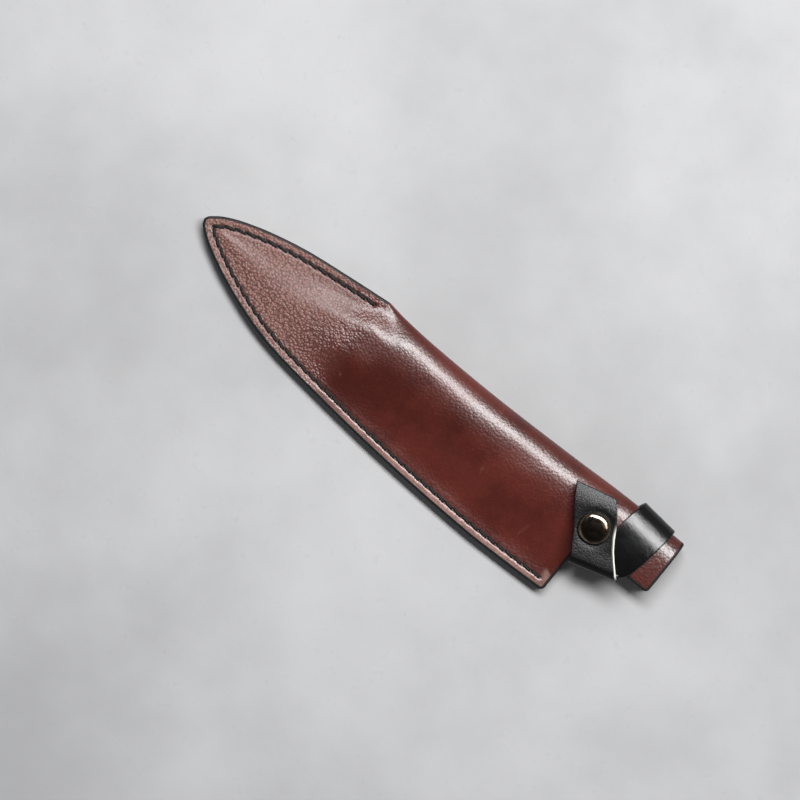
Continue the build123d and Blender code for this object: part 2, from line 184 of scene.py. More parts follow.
def panel_top(x, from_top, from_belly):
    """Height of the front panel's outer face, before the fold rounds it down at the spine."""
    crest = np.interp(x, *CREST_CURVE)
    top_margin = SEAM_MARGIN - MARGIN_NARROWS_BY * ease((x - MARGIN_NARROWS_X) / MARGIN_NARROWS_OVER)
    span = np.maximum(from_top + from_belly - 2 * SEAM_MARGIN, 4.0)
    top_share = RISE_SHARE_AT_POINT - (RISE_SHARE_AT_POINT - RISE_SHARE_AT_FOLD) * ease(
        (x - RISE_CHANGES_X) / RISE_CHANGES_OVER)
    rise = ease((from_top - top_margin) / (top_share * span)) * ease(
        (from_belly - SEAM_MARGIN) / (BELLY_RISE_SHARE * span))
    stitched = EDGE_HEIGHT + (crest - EDGE_HEIGHT) * rise
    down = (from_top - NOSE_WIDTH) / (span + SEAM_MARGIN - NOSE_WIDTH)
    fall = (crest - EDGE_HEIGHT) * ease(down) ** FULLNESS
    folded = crest - fall * (1 - TONGUE_OPEN * on_tongue(x))
    return stitched + (folded - stitched) * opened(x)


# ---- Mesh helpers ----------------------------------------------------------------------------


def new_object(name, points, faces, materials, face_material=None):
    """A smooth-shaded mesh object from plan millimetres."""
    mesh = bpy.data.meshes.new(name)
    mesh.from_pydata(to_row(points).tolist(), [], [list(map(int, f)) for f in faces])
    for material in materials:
        mesh.materials.append(material)
    if face_material is not None:
        mesh.polygons.foreach_set("material_index", np.asarray(face_material, np.int32))
    mesh.polygons.foreach_set("use_smooth", np.ones(len(mesh.polygons), bool))
    solid = bmesh.new()
    solid.from_mesh(mesh)
    bmesh.ops.recalc_face_normals(solid, faces=solid.faces)
    solid.to_mesh(mesh)
    solid.free()
    mesh.update()
    obj = bpy.data.objects.new(name, mesh)
    bpy.context.scene.collection.objects.link(obj)
    return obj


def put_attribute(obj, name, values):
    attribute = obj.data.attributes.new(name, "FLOAT", "POINT")
    attribute.data.foreach_set("value", np.asarray(values, np.float32))


def quads(index, flip=False):
    """Quads over a grid of vertex numbers."""
    a, b = index[:-1, :-1].ravel(), index[1:, :-1].ravel()
    c, d = index[1:, 1:].ravel(), index[:-1, 1:].ravel()
    return np.stack([a, d, c, b] if flip else [a, b, c, d], 1)


def strip(first, second, flip=False):
    """Quads between two rows of vertex numbers."""
    return quads(np.stack([first, second], 1), flip)


def distance_to(points, line):
    """Distance of plan points to a polyline, and how far along it each nearest place is."""
    a, b = line[:-1], line[1:]
    run = b - a
    size = (run ** 2).sum(1)
    best = np.full(len(points), 1e9)
    along = np.zeros(len(points))
    start = np.concatenate([[0], np.cumsum(np.sqrt(size))])
    for i in range(len(a)):
        t = np.clip(((points - a[i]) @ run[i]) / max(size[i], 1e-12), 0, 1)
        d = np.hypot(*(points - a[i] - t[:, None] * run[i]).T)
        closer = d < best
        best[closer] = d[closer]
        along[closer] = start[i] + t[closer] * np.sqrt(size[i])
    return best, along


def arc(centre, radius, start, end, count=9):
    angles = np.radians(np.linspace(start, end, count))
    return np.stack([centre[0] + radius * np.cos(angles), centre[1] + radius * np.sin(angles)], 1)


def thinned(curve, every=6):
    return np.stack([np.append(c[:-1:every], c[-1]) for c in curve], 1)


BELLY_PATH = thinned(BELLY_CURVE)
TOP_PATH = thinned(TOP_CURVE)
MOUTH_PATH = np.concatenate([
    arc((MOUTH_X - MOUTH_CORNER, belly_line(MOUTH_X) + MOUTH_CORNER), MOUTH_CORNER, -90, 0),
    arc((MOUTH_X + INNER_CORNER, TONGUE_LOW_Y - INNER_CORNER), INNER_CORNER, 180, 90),
    arc((LENGTH - TONGUE_CORNER, TONGUE_LOW_Y + TONGUE_CORNER), TONGUE_CORNER, -90, 0),
    [(LENGTH, 40.0)]])
LOW_PATH = np.concatenate([BELLY_PATH, MOUTH_PATH])

# ---- Seams -----------------------------------------------------------------------------------

STITCH_PITCH = 5.0
SEAM_INSET = 4.5


def seam_line(path, side, last):
    """A line inside an edge by the seam's inset, from the turn at the point to last before its end."""
    run = np.gradient(path, axis=0)
    run /= np.hypot(*run.T)[:, None]
    inner = path + np.stack([-run[:, 1], run[:, 0]], 1) * side * SEAM_INSET
    inner = np.vstack([SEAM_TURN, inner[inner[:, 0] > SEAM_TURN[0] + 1.5]])
    steps = np.concatenate([[0], np.cumsum(np.hypot(*np.diff(inner, axis=0).T))])
    length = np.linspace(0, steps[-1] - last, 400)
    return np.stack([np.interp(length, steps, inner[:, 0]), np.interp(length, steps, inner[:, 1])], 1)


SEAM_TURN = (5.4, -0.4)
BELLY_SEAM = seam_line(BELLY_PATH, 1, 2.0)
TOP_SEAM = seam_line(TOP_PATH, -1, 5.6)


def seam_holes(line):
    """Needle holes, a pitch apart along a seam line: places and headings."""
    steps = np.concatenate([[0], np.cumsum(np.hypot(*np.diff(line, axis=0).T))])
    count = int(round(steps[-1] / STITCH_PITCH))
    at = np.linspace(0, steps[-1], count + 1)
    return np.stack([np.interp(at, steps, line[:, 0]), np.interp(at, steps, line[:, 1])], 1)


HOLES = {"belly": seam_holes(BELLY_SEAM), "tip": seam_holes(TOP_SEAM)}
ALL_HOLES = np.concatenate(list(HOLES.values()))

# ---- Folded leather --------------------------------------------------------------------------

EDGE_OFFSETS = [0, .1, .25, .5, .8, 1.2, 1.8, 2.5, 3.1, 3.5, 3.85, 4.2, 4.5, 4.8, 5.15, 5.5, 6.1,
                7.0, 8.2]
TONGUE_OFFSETS = [0, .1, .25, .5, .8, 1.3, 2.2, 3.6]
NOSE_OFFSETS = [0, .04, .14, .32, .6, .95, 1.4, 1.9, 2.5, 3.1, 3.6, 4.0, 4.35, 4.7, 5.1, 5.6, 6.3,
                7.3, 8.6, 10.2, 12.0, 14.0]
BELLY_FILL = 9
TONGUE_FILL = 8
SPAN = 56.0
SPLIT_Y = TONGUE_LOW_Y - INNER_CORNER
EDGE_ROUND = 0.9
PAINTED_RIM = 1.2
GROOVE_DEPTH = 0.42
GROOVE_WIDTH = 0.72
SWELL_HEIGHT = 0.05
SWELL_FROM_SEAM = 2.0
SWELL_WIDTH = 0.9
HOLE_DEPTH = 0.5
HOLE_WIDTH = 0.75
# Slow waves in the leather: height, steps of noise to the millimetre along and across, and its layer.
WAVES = ((0.28, 0.035, 0.05, 3.0), (0.12, 0.09, 0.11, 7.0))
WAVES_START = 5.5
WAVES_GROW_OVER = 8.0
NOSE_START_WIDTH = 2.0
NOSE_START_LOW_WIDTH = 1.6
NOSE_OPENS_OVER = 20.0
BELLY_WELT_START = 6.0
TOP_WELT_START = 16.0
WELT_WIDTH = 6.0


def end_stations(start, end, step, round_end):
    """Stations from start to end that close up towards a cut end."""
    close = [round_end * f for f in (0, .06, .16, .34, .62, 1.0, 1.6)]
    main = np.linspace(start, end - close[-1] - step * 0.7, int((end - start) / step))
    return np.concatenate([main, [end - c for c in reversed(close)]])


def belly_rows(span, split):
    """Distances from the belly edge, as shares of the width, up to the split line."""
    near = np.array(EDGE_OFFSETS) / SPAN
    fill = np.linspace(near[-1], split, BELLY_FILL + 2)[1:]
    return np.concatenate([near, fill])


def plan_grid():
    """Plan places of the panel's grid: stations along, rows from the belly edge to the spine."""
    belly_to_knuckle = BELLY_PATH[BELLY_PATH[:, 0] <= KNUCKLE[0]]
    belly_to_knuckle = np.vstack([belly_to_knuckle, [KNUCKLE[0], belly_line(KNUCKLE[0])]])

    def walk(path, shares):
        steps = np.concatenate([[0], np.cumsum(np.hypot(*np.diff(path, axis=0).T))])
        steps /= steps[-1]
        place = np.stack([np.interp(shares, steps, path[:, k]) for k in (0, 1)], 1)
        ahead = np.stack([np.interp(shares + 0.004, steps, path[:, k]) for k in (0, 1)], 1)
        behind = np.stack([np.interp(shares - 0.004, steps, path[:, k]) for k in (0, 1)], 1)
        run = ahead - behind
        run /= np.hypot(*run.T)[:, None]
        return place, run

    shares = np.concatenate([[0.0005, 0.004, 0.009, 0.016], np.linspace(0.025, 0.992, 150)])
    low, low_run = walk(belly_to_knuckle, shares)
    high, high_run = walk(TOP_PATH, shares)
    low_in = np.stack([-low_run[:, 1], low_run[:, 0]], 1)
    high_in = np.stack([high_run[:, 1], -high_run[:, 0]], 1)
    upright = shares[:, None]
    low_in = low_in * (1 - upright) + np.array([0.0, 1.0]) * upright
    high_in = high_in * (1 - upright) - np.array([0.0, 1.0]) * upright
    size = np.hypot(*(high - low).T)[:, None]
    controls = [low, low + low_in * size / 3, high + high_in * size / 3, high]

    knuckle_low = belly_line(KNUCKLE[0])
    width = KNUCKLE[1] - knuckle_low
    split = (SPLIT_Y - knuckle_low) / width
    belly_part = belly_rows(width, split)
    tongue_near = split + np.array(TONGUE_OFFSETS[1:]) / SPAN
    nose_part = 1 - np.array(NOSE_OFFSETS[::-1]) / SPAN
    fill = np.linspace(tongue_near[-1], nose_part[0], TONGUE_FILL + 2)[1:-1]
    v = np.concatenate([belly_part, tongue_near, fill, nose_part])[None, :, None]
    c = [control[:, None, :] for control in controls]
    tip = (c[0] * (1 - v) ** 3 + 3 * c[1] * v * (1 - v) ** 2 + 3 * c[2] * v ** 2 * (1 - v)
           + c[3] * v ** 3)

    fold_x = np.concatenate([[KNUCKLE[0]], end_stations(KNUCKLE[0] + 0.6, MOUTH_X, 0.6, EDGE_ROUND)])
    tongue_x = end_stations(MOUTH_X, LENGTH, 0.7, EDGE_ROUND)[1:]
    tongue_x = np.sort(np.concatenate([tongue_x, MOUTH_X + np.array([.08, .25, .5])]))
    rows = []
    for x in np.concatenate([fold_x, tongue_x]):
        top = float(spine_y(x))
        belly = float(belly_y(min(x, MOUTH_X)))
        low_y = SPLIT_Y if x <= MOUTH_X else float(tongue_y(x))
        belly_part = belly + (top - belly) * belly_rows(top - belly, (low_y - belly) / (top - belly))
        near = low_y + np.array(TONGUE_OFFSETS[1:])
        nose = top - np.array(NOSE_OFFSETS[::-1])
        fill = np.linspace(near[-1], nose[0], TONGUE_FILL + 2)[1:-1]
        y = np.concatenate([belly_part, near, fill, nose])
        rows.append(np.stack([np.full(len(y), x), y], 1))
    return np.concatenate([tip, np.array(rows)]), len(tip), len(tip) + len(fold_x) - 1


PLAN, KNUCKLE_STATION, MOUTH_STATION = plan_grid()
SPLIT_ROW = len(EDGE_OFFSETS) + BELLY_FILL
STATIONS, ROWS = PLAN.shape[:2]


def leather_surfaces():
    """Outer and inner faces of the front and of the back, as grids, and distances to cut edges."""
    flat = PLAN.reshape(-1, 2)
    x, y = flat.T
    before_knuckle = np.repeat(np.arange(STATIONS) < KNUCKLE_STATION, ROWS)
    to_belly, _ = distance_to(flat, BELLY_PATH)
    to_top, _ = distance_to(flat, TOP_PATH)
    to_low, _ = distance_to(flat, LOW_PATH)
    from_top = np.where(before_knuckle, to_top, spine_y(x) - y)
    from_belly = np.where(x < MOUTH_X - 8, to_belly, y - belly_line(x))
    from_top = np.maximum(from_top, 0)
    to_cut = np.where(before_knuckle, np.minimum(to_low, to_top), to_low)

    height = panel_top(x, from_top, from_belly)
    open_now = opened(x)
    nose = nose_height(x)
    open_fast = ease((x - KNUCKLE[0]) / NOSE_OPENS_OVER)
    wide = NOSE_START_WIDTH + (NOSE_WIDTH - NOSE_START_WIDTH) * open_fast
    wide = np.where(before_knuckle, 1e-6, wide)
    low_wide = NOSE_START_LOW_WIDTH + (NOSE_LOW_WIDTH - NOSE_START_LOW_WIDTH) * open_now
    low_wide = np.where(before_knuckle, 1e-6, low_wide)
    bend = np.sqrt(1 - (1 - np.clip(from_top / wide, 0, 1)) ** 2)
    low_bend = np.sqrt(1 - (1 - np.clip(from_top / low_wide, 0, 1)) ** 2)
    bend = np.where(before_knuckle, 1.0, bend)
    low_bend = np.where(before_knuckle, 1.0, low_bend)

    waves = np.array([sum(noise.noise(Vector((a * along, b * across, layer))) * high
                          for high, along, across, layer in WAVES) for a, b in flat])
    height = height + waves * ease((to_cut - WAVES_START) / WAVES_GROW_OVER)

    seam, _ = distance_to(flat, BELLY_SEAM)
    seam_top, _ = distance_to(flat, TOP_SEAM)
    seam = np.minimum(seam, seam_top)
    groove = GROOVE_DEPTH * np.exp(-(seam / GROOVE_WIDTH) ** 2)
    groove -= SWELL_HEIGHT * np.exp(-((seam - SWELL_FROM_SEAM) / SWELL_WIDTH) ** 2)
    hole = np.full(len(flat), 1e9)
    for place in ALL_HOLES:
        hole = np.minimum(hole, np.hypot(x - place[0], y - place[1]))
    dimple = HOLE_DEPTH * np.exp(-(hole / HOLE_WIDTH) ** 2)
    sunk = groove + dimple
    drop = np.where(to_cut < EDGE_ROUND,
                    EDGE_ROUND - np.sqrt(np.maximum(
                        EDGE_ROUND ** 2 - (EDGE_ROUND - to_cut) ** 2, 0)), 0)

    front_z = nose + (height - nose) * bend
    back_z = nose - (nose - lift(x)) * low_bend
    centre_y = spine_y(x) - wide
    low_centre_y = spine_y(x) - low_wide
    # The leather is skived thinner in the tight start of the fold.
    skived = np.where(before_knuckle, 0.0, LEATHER - np.minimum(LEATHER, 0.8 * low_wide))
    wall = LEATHER - skived * (1 - ease((from_top - 3.0) / 8.0))

    def inward(y_now, z_now, centre, centre_z, amount, sign):
        """Move points of the fold towards the fold's middle, and flat ones straight in."""
        dy = np.where(from_top < spine_y(x) - centre, centre - y_now, 0.0)
        dz = np.where(dy == 0, -sign, centre_z - z_now)
        size = np.maximum(np.hypot(dy, dz), 1e-9)
        share = amount / size
        return y_now + dy * share, z_now + dz * share

    front_y, front_o = inward(y, front_z, centre_y, nose, drop + sunk, 1.0)
    front_iy, front_i = inward(y, front_z, centre_y, nose, np.maximum(wall - 0.35 * drop, 0.5), 1.0)
    back_y, back_o = inward(y, back_z, low_centre_y, nose, np.minimum(drop, 0.7) + sunk * 0.6, -1.0)
    back_iy, back_i = inward(y, back_z, low_centre_y, nose, wall - 0.35 * drop, -1.0)
    back_o = np.where(before_knuckle | (from_top > low_wide), np.maximum(back_o, lift(x)), back_o)

    # Both faces are glued together at the point, beyond the welts.
    welt_start = BELLY_WELT_START + (TOP_WELT_START - BELLY_WELT_START) * ease(from_belly - WELT_WIDTH)
    glued = ease((welt_start - x) / 1.2) * before_knuckle
    front_i = front_i + (EDGE_HEIGHT / 2 + 0.01 - front_i) * glued
    back_i = back_i + (EDGE_HEIGHT / 2 - 0.01 - back_i) * glued

    def grid(*columns):
        return np.stack(columns, 1).reshape(STATIONS, ROWS, 3)

    return (grid(x, front_y, front_o), grid(x, front_iy, front_i), grid(x, back_y, back_o),
            grid(x, back_iy, back_i), to_cut.reshape(STATIONS, ROWS), seam.reshape(STATIONS, ROWS),
            hole.reshape(STATIONS, ROWS))


def leather_body(outer, cut_edge, flesh):
    """The folded leather as one closed mesh: grain side, painted cut edges and flesh side."""
    front, front_in, back, back_in, to_cut, seam, hole = leather_surfaces()
    grids = [front, front_in, back, back_in]
    points = np.concatenate([g.reshape(-1, 3) for g in grids])
    number = np.arange(len(points)).reshape(4, STATIONS, ROWS)
    # Past the knuckle front and back are one piece: they share the fold's outermost row.
    for kept, dropped in ((0, 2), (1, 3)):
        number[dropped, KNUCKLE_STATION:, -1] = number[kept, KNUCKLE_STATION:, -1]
    # The lower rows end at the mouth, and the upper rows run on along the tongue.
    whole = slice(0, MOUTH_STATION + 1)
    upper = slice(SPLIT_ROW, ROWS)
    faces, kinds = [], []

    def take(new, kind):
        faces.append(new)
        kinds.append(np.full(len(new), kind))

    for layer, flip, kind in ((0, False, 0), (1, True, 2), (2, True, 0), (3, False, 2)):
        take(quads(number[layer, whole], flip), kind)
        take(quads(number[layer, MOUTH_STATION:, upper], flip), kind)
    for outside, inside, flip in ((0, 1, False), (2, 3, True)):
        take(strip(number[outside, whole, 0], number[inside, whole, 0], not flip), 1)
        take(strip(number[outside, :KNUCKLE_STATION + 1, -1],
                   number[inside, :KNUCKLE_STATION + 1, -1], flip), 1)
        take(strip(number[outside, 0], number[inside, 0], flip), 1)
        take(strip(number[outside, MOUTH_STATION, :SPLIT_ROW + 1],
                   number[inside, MOUTH_STATION, :SPLIT_ROW + 1], not flip), 1)
        take(strip(number[outside, MOUTH_STATION:, SPLIT_ROW],
                   number[inside, MOUTH_STATION:, SPLIT_ROW], not flip), 1)
        take(strip(number[outside, -1, upper], number[inside, -1, upper], not flip), 1)
    faces, kinds = np.concatenate(faces), np.concatenate(kinds)
    rim = np.tile(to_cut.ravel(), 4)[faces].mean(1) < PAINTED_RIM
    kinds[rim & (kinds == 0)] = 1
    obj = new_object("sheath_leather", points, faces, [outer, cut_edge, flesh], kinds)
    for name, values in (("edge_mm", to_cut), ("seam_mm", seam), ("hole_mm", hole)):
        put_attribute(obj, name, np.tile(values.ravel(), 4))
    return obj


# ---- Heights on the finished leather, for what lies on it ------------------------------------


def front_height(x, y):
    """Height of the front panel at plan places, away from the fold's nose."""
    place = np.array([[x, y]], float)
    from_belly, _ = distance_to(place, BELLY_PATH)
    if x < KNUCKLE[0]:
        from_top, _ = distance_to(place, TOP_PATH)
    else:
        from_top = np.array([float(spine_y(x)) - y])
    return float(panel_top(np.array([x]), from_top, from_belly)[0])


# ---- Stitches --------------------------------------------------------------------------------

THREAD_SIDES = 10
THREAD_RINGS = 13
PLIES = 2
PLY_DEPTH = 0.16
PLY_TURNS = 1.5
STITCH_SLANT = 0.58
FRONT_THREAD = 0.68
BACK_THREAD = 0.56
STITCH_GAP = 0.05
THREAD_DIVE = 0.62
THREAD_BURIED = 0.16
STITCH_CROWN = 0.12
BACK_THREAD_HEIGHT = 0.6


def thread(places, sides, count):
    """A waxed two-ply thread along a line of 3-D places: points and faces."""
    run = np.gradient(places, axis=0)
    run /= np.linalg.norm(run, axis=1)[:, None]
    flat = np.cross(np.array([0, 0, 1.0]), run)
    flat /= np.linalg.norm(flat, axis=1)[:, None]
    up = np.cross(run, flat)
    angle = np.linspace(0, 2 * pi, THREAD_SIDES, endpoint=False)
    twist = np.linspace(0, PLY_TURNS * 2 * pi, len(places))
    radius = sides[:, None] * (1 + PLY_DEPTH * np.cos(PLIES * (angle[None, :] - twist[:, None])))
    ring = (places[:, None, :] + flat[:, None, :] * (radius * np.cos(angle))[:, :, None] * 1.12
            + up[:, None, :] * (radius * np.sin(angle))[:, :, None] * 0.85)
    points = ring.reshape(-1, 3)
    number = np.arange(len(points)).reshape(len(places), THREAD_SIDES) + count
    around = np.concatenate([number, number[:, :1]], 1)
    faces = [list(f) for f in quads(around)]
    faces += [list(number[0][::-1]), list(number[-1])]
    return points, faces


def stitch_row(name, holes, front, material):
    """One face's stitches along a seam, each sunk into its needle holes, slanted a little."""
    points, faces, count = [], [], 0
    for i in range(len(holes) - 1):
        start, end = holes[i], holes[i + 1]
        run = (end - start) / np.hypot(*(end - start))
        side = np.array([-run[1], run[0]])
        slant = STITCH_SLANT if front else -STITCH_SLANT
        t = np.linspace(0, 1, THREAD_RINGS)
        plan = start + (end - start) * (STITCH_GAP + (1 - 2 * STITCH_GAP) * t[:, None])
        plan += side * (0.5 - t[:, None]) * 2 * slant
        ends = np.abs(2 * t - 1)
        sink = THREAD_DIVE * ends ** 5
        if front:
            level = np.array([front_height(*p) for p in (start, (start + end) / 2, end)])
            z = np.interp(t, [0, 0.5, 1], level) - THREAD_BURIED + STITCH_CROWN * (1 - ends ** 2) - sink
        else:
            z = BACK_THREAD_HEIGHT - STITCH_CROWN / 2 * (1 - ends ** 2) + sink * 0.8
        sides = (FRONT_THREAD if front else BACK_THREAD) * (1 - 0.3 * ends ** 6)
        new, new_faces = thread(np.column_stack([plan, z]), sides, count)
        points.append(new)
        faces += new_faces
        count += len(new)
    return new_object(name, np.concatenate(points), faces, [material])


# ---- Strap -----------------------------------------------------------------------------------

STRAP_THICK = 1.5
BAND_HEIGHT = 14.1
BACK_PASS_HEIGHT = 1.3
BACK_PASS_LENGTH = 19.0
WRAP_OUTER_Y = 24.85
WRAP_SPINE_SIDE = Vector((0.096, 0.995)).normalized()
BAND_TOP = Vector((244.2, 23.5))
BAND_DIRECTION = Vector((-0.16, -0.987)).normalized()
FOLD_LEFT = Vector((224.2, -17.0))
FOLD_RIGHT = Vector((246.4, -10.5))
TURN_RADIUS = 2.6
TAB_HEIGHT = 18.25
TAB_END_HEIGHT = 16.3
TAB_REACH = 34.0
SNAP = Vector((223.6, 2.0))
CAP_RADIUS = 7.5
CAP_PRESS = 0.22
CAP_PRESS_WIDTH = 1.6
TAB_SETTLES_OVER = 8.0
TAB_FALLS_FROM = 22.5
WRAP_RADIUS = (BAND_HEIGHT - BACK_PASS_HEIGHT) / 2
WRAP_DOWN = WRAP_RADIUS + STRAP_THICK / 2 + BAND_TOP.y - WRAP_OUTER_Y
WRAP_CENTRE = BAND_TOP + BAND_DIRECTION * WRAP_DOWN
WRAP_ALONG = Vector((WRAP_SPINE_SIDE.y, -WRAP_SPINE_SIDE.x))
TURN_ALONG = (FOLD_RIGHT - FOLD_LEFT).normalized()
TURN_OUT = Vector((TURN_ALONG.y, -TURN_ALONG.x))
TURN_CENTRE = (FOLD_LEFT + FOLD_RIGHT) / 2 - TURN_OUT * (TURN_RADIUS + STRAP_THICK / 2)
TURN_RISE = 4.5
TURN_TOP = BAND_HEIGHT + TURN_RISE
STRAP_ROUND = 0.5
TURN_LEAD = 0.6
# Where the strap's left and right edges cross the turn's start, outermost line and end.
TURN_SIDES = ((-10.1, -12.3, -12.1), (11.7, 11.56, 9.7))
CROWN_HEIGHT = 14.4

BAND_LEFT = [(235.6, 27.0), (234.0, 22.2), (233.0, 17.9), (232.4, 14.2), (231.8, 9.0),
             (230.6, 2.0), (228.6, -5.0), (226.4, -10.5), (224.9, -14.0)]
BAND_RIGHT = [(254.2, 27.0), (253.6, 22.9), (252.9, 16.8), (252.1, 10.7), (251.0, 3.4),
              (249.7, -3.1), (248.6, -6.0), (247.3, -7.6), (246.0, -8.6)]
TAB_LEFT = [(219.1, -8.6), (216.8, -4.9), (213.9, -0.7), (209.6, 4.7), (207.0, 8.6), (204.1, 13.8)]
TAB_RIGHT = [(240.0, -4.0), (236.9, -0.5), (233.9, 3.8), (231.5, 8.1), (228.3, 12.5),
             (226.2, 15.2), (224.7, 17.0)]
TAB_END = [(204.1, 13.8), (210.0, 15.2), (216.0, 16.65), (221.0, 17.8), (222.9, 18.2),
           (223.9, 18.0), (224.7, 17.0)]


def along_curve(points, shares):
    """Places along a curve through points, at shares of its length, gently smoothed."""
    points = np.asarray(points, float)
    steps = np.concatenate([[0], np.cumsum(np.hypot(*np.diff(points, axis=0).T))])
    fine = np.linspace(0, steps[-1], 240)
    curve = np.stack([np.interp(fine, steps, points[:, k]) for k in (0, 1)], 1)
    for _ in range(8):
        curve[1:-1] = (curve[:-2] + 2 * curve[1:-1] + curve[2:]) / 4
    steps = np.concatenate([[0], np.cumsum(np.hypot(*np.diff(curve, axis=0).T))])
    steps /= steps[-1]
    return np.stack([np.interp(shares, steps, curve[:, k]) for k in (0, 1)], 1)


EDGE_SHARES = np.array([0, .002, .008, .016, .026, .045, .075])
ACROSS = np.concatenate([EDGE_SHARES, np.linspace(.075, .925, 26)[1:-1], 1 - EDGE_SHARES[::-1]])


def strap_sheet(name, middle, to_edge, material_list, raw_edge_glint=None):
    """Strap leather about its middle surface: a grid of stations and places across.

    to_edge is each place's distance to the nearest cut edge, which is burnished round.
    """
    along = np.gradient(middle, axis=0)
    across = np.gradient(middle, axis=1)
    normal = np.cross(across, along)
    normal /= np.linalg.norm(normal, axis=2)[:, :, None]
    drop = STRAP_ROUND - np.sqrt(np.maximum(
        STRAP_ROUND ** 2 - np.clip(STRAP_ROUND - to_edge, 0, STRAP_ROUND) ** 2, 0))
    half = (STRAP_THICK / 2 - drop)[:, :, None]
    grain, flesh = middle + normal * half, middle - normal * half
    stations, width = middle.shape[:2]
    number = np.arange(2 * stations * width).reshape(2, stations, width)
    faces = [quads(number[0]), quads(number[1])]
    kinds = [np.zeros(len(faces[0])), np.full(len(faces[1]), 2)]
    for row in (0, -1):
        faces.append(strip(number[0, :, row], number[1, :, row]))
        kinds.append(np.ones(stations - 1))
    for row in (0, -1):
        faces.append(strip(number[0, row], number[1, row]))
        kinds.append(np.ones(width - 1))
    points = np.concatenate([grain.reshape(-1, 3), flesh.reshape(-1, 3)])
    obj = new_object(name, points, np.concatenate(faces), material_list, np.concatenate(kinds))
    put_attribute(obj, "edge_mm", np.tile(to_edge.ravel(), 2))
    put_attribute(obj, "raw_edge_glint", np.tile((to_edge * 0 if raw_edge_glint is None else raw_edge_glint).ravel(), 2))
    return obj


def edge_distance(plan):
    """Distance across each station's row to its nearer end."""
    steps = np.linalg.norm(np.diff(plan, axis=1), axis=2)
    from_left = np.concatenate([np.zeros((len(plan), 1)), np.cumsum(steps, axis=1)], 1)
    return np.minimum(from_left, from_left[:, -1:] - from_left)


def wrap_and_band():
    """The strap's back pass, its wrap round the fold and its band down to the turn."""
    # Side profile in the bend plane: distance outward from the wrap's centre, and height.
    lower = [(-BACK_PASS_LENGTH + d, BACK_PASS_HEIGHT) for d in np.linspace(0, BACK_PASS_LENGTH, 24)]
    angle = np.radians(np.linspace(-90, 0, 20)[1:])
    middle_height = BACK_PASS_HEIGHT + WRAP_RADIUS
    round_part = [(WRAP_RADIUS * cos(a), middle_height + WRAP_RADIUS * sin(a)) for a in angle]
    crown = [(6.25, 8.6), (5.6, 9.75), (4.5, 10.85), (2.8, 11.85), (0.6, 12.65), (-1.6, 13.28),
             (-3.8, 13.8), (-6.5, 14.15), (-9.5, 14.33), (-12.0, 14.39), (-14.0, CROWN_HEIGHT)]
    steps = np.array(round_part[-2:] + crown)
    length = np.concatenate([[0], np.cumsum(np.hypot(*np.diff(steps, axis=0).T))])
    fine = np.linspace(0, length[-1], 90)
    curve = np.stack([np.interp(fine, length, steps[:, k]) for k in (0, 1)], 1)
    for _ in range(60):
        curve[1:-1] = (curve[:-2] + 2 * curve[1:-1] + curve[2:]) / 4
    profile = np.array(lower + round_part[:-2] + curve.tolist())
    rows = []
    for out, height in profile:
        ends = []
        for edge in (BAND_LEFT, BAND_RIGHT):
            xs, ys = np.array(edge[::-1]).T
            side = 0.0
            for _ in range(6):
                y = WRAP_CENTRE.y + WRAP_SPINE_SIDE.y * out + WRAP_ALONG.y * side
                x = np.interp(y, ys, xs)
                side = (x - WRAP_CENTRE.x - WRAP_SPINE_SIDE.x * out) / WRAP_ALONG.x
            ends.append(side)
        side = ends[0] + (ends[1] - ends[0]) * ACROSS
        rows.append(np.stack([WRAP_CENTRE.x + WRAP_SPINE_SIDE.x * out + WRAP_ALONG.x * side,
                              WRAP_CENTRE.y + WRAP_SPINE_SIDE.y * out + WRAP_ALONG.y * side,
                              np.full(len(side), height)], 1))
    # Flat part of the band, whose rows turn to lie along the fold line.
    last = rows[-1]
    begin = TURN_CENTRE - TURN_OUT * TURN_LEAD
    finish = [begin + TURN_ALONG * side[0] for side in TURN_SIDES]
    shares = np.linspace(0, 1, 46)[1:]
    left = along_curve([last[0, :2]] + [p for p in BAND_LEFT if p[1] < last[0, 1] - 1]
                       + [tuple(finish[0])], shares)
    right = along_curve([last[-1, :2]] + [p for p in BAND_RIGHT if p[1] < last[-1, 1] - 1]
                        + [tuple(finish[1])], shares)
    for t, a, b in zip(shares, left, right):
        plan = a + (b - a) * ACROSS[:, None]
        level = CROWN_HEIGHT - (CROWN_HEIGHT - BAND_HEIGHT) * float(ease(np.array(t)))
        rows.append(np.column_stack([plan, np.full(len(plan), level)]))
    return np.array(rows)


def tab_height(back):
    """Height of the tab's middle surface, by distance back from the turn's centre."""
    settle = TURN_TOP - (TURN_TOP - TAB_HEIGHT) * ease(back / TAB_SETTLES_OVER)
    fallen = np.clip((back - TAB_FALLS_FROM) / (TAB_REACH - TAB_FALLS_FROM), 0, 1.2)
    return settle - (TAB_HEIGHT - TAB_END_HEIGHT) * fallen ** 1.8


